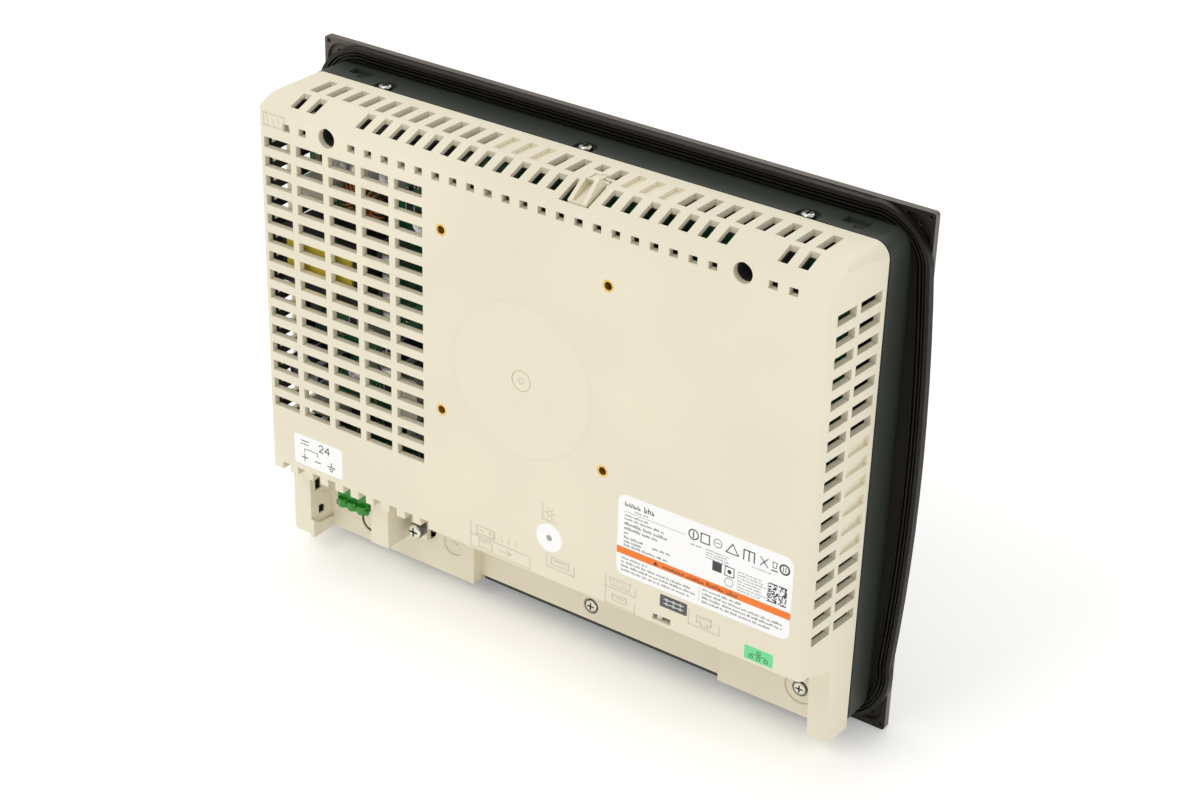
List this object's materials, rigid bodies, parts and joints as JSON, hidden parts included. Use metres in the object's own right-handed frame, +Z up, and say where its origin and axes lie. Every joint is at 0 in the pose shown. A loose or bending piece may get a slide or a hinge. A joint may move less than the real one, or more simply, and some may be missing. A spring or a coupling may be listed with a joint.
{
  "type": "hmi touch panel",
  "caption": "Operator touch panel: dark screen bezel with a loose rubber seal, pale vented rear case, brass mounting inserts and ports that open downwards.",
  "frame": {"origin": "on the plane of the bezel's lower edge, under the middle of the panel's width and of its 57 mm depth", "axes": "+X to the right as seen from the screen side, -Y out of the screen towards the user, +Z up"},
  "size_m": [0.282, 0.057, 0.2145],
  "materials": {
    "bezel_plastic": "fine grained dark grey-brown moulding",
    "frame_plastic": "satin dark green-grey moulding",
    "cover_plastic": "fine grained warm beige moulding",
    "seal_rubber": "matt black seal rubber",
    "cushion_rubber": "matt black foam rubber",
    "front_film": "smooth hard-coated film",
    "glass": "polished",
    "display_cell": "dark display cell",
    "light_guide": "clear moulded sheet",
    "sheet_steel": "zinc-coated sheet",
    "zinc_screw": "bright zinc plate",
    "insert_brass": "turned brass",
    "contact_gold": "gold flash",
    "plated_shell": "bright nickel plate",
    "circuit_board": "green solder mask",
    "black_moulding": "black filled moulding",
    "aluminium": "extruded",
    "ferrite": "sintered ferrite",
    "yellow_tape": "polyester winding tape",
    "capacitor_sleeve": "shrink sleeve with bare can end",
    "capacitor_box": "cast box",
    "copper_wire": "enamelled copper wire",
    "cable_film": "amber flexible circuit",
    "green_plug": "green terminal moulding",
    "battery_steel": "stainless",
    "white_knob": "natural moulding",
    "lens": "translucent grey",
    "white_label": null,
    "dark_label": "dark grey polyester label",
    "green_label": "light green polyester label"
  },
  "bodies": {
    "panel": {"front_bezel": "bezel_plastic", "middle_frame": "frame_plastic", "rear_cover": "cover_plastic", "panel_gasket": "seal_rubber", "lcd_cushions": "cushion_rubber", "front_film": "front_film", "touch_glass": "glass", "lcd_panel": "display_cell", "backlight_guide": "light_guide", "lcd_frame": "sheet_steel", "chassis_plate": "sheet_steel", "earth_bracket": "sheet_steel", "board_shield": "sheet_steel", "cover_posts": "sheet_steel", "board_standoffs": "sheet_steel", "top_screws": "zinc_screw", "rear_screws": "zinc_screw", "board_screws": "zinc_screw", "earth_screw": "zinc_screw", "earth_spring_washer": "zinc_screw", "earth_clamp_plate": "zinc_screw", "door_pin": "zinc_screw", "threaded_inserts": "insert_brass", "port_contacts": "contact_gold", "usb_shell": "plated_shell", "usb_device_port": "plated_shell", "serial_shell": "plated_shell", "serial_jack_screws": "plated_shell", "main_board": "circuit_board", "power_board": "circuit_board", "port_board": "circuit_board", "board_chips": "black_moulding", "small_parts": "black_moulding", "usb_tongue": "black_moulding", "serial_insert": "black_moulding", "battery_holder": "black_moulding", "card_socket": "black_moulding", "switch_body": "black_moulding", "board_connectors": "black_moulding", "fieldbus_socket": "black_moulding", "network_socket": "black_moulding", "processor_heatsink": "aluminium", "power_heatsink": "aluminium", "transformer_core": "ferrite", "transformer_winding": "yellow_tape", "bulk_capacitors": "capacitor_sleeve", "film_capacitors": "capacitor_box", "choke_coil": "copper_wire", "ribbon_cables": "cable_film", "power_header": "green_plug", "backup_battery": "battery_steel", "led_lens": "lens", "power_label": "white_label", "rating_label": "white_label", "led_label": "white_label", "serial_label": "dark_label", "network_label": "green_label"},
    "hook": {"drop_hook": "cover_plastic"},
    "door": {"card_door": "cover_plastic"},
    "slider": {"switch_slider": "white_knob"}
  },
  "joints": [
    {"name": "hook_flex", "type": "hinge", "parent": "panel", "child": "hook", "pos_m": [-0.0215, 0.0082, 0.2059], "axis": [-1, 0, 0], "range_deg": [0, 12], "stiffness_Nm_per_rad": 0.3},
    {"name": "door_hinge", "type": "hinge", "parent": "panel", "child": "door", "pos_m": [0.009, 0.0028, 0.047], "axis": [-1, 0, 0], "range_deg": [0, 92]},
    {"name": "switch_slide", "type": "slide", "parent": "panel", "child": "slider", "axis": [-1, 0, 0], "range_m": [0, 0.003]}
  ]
}
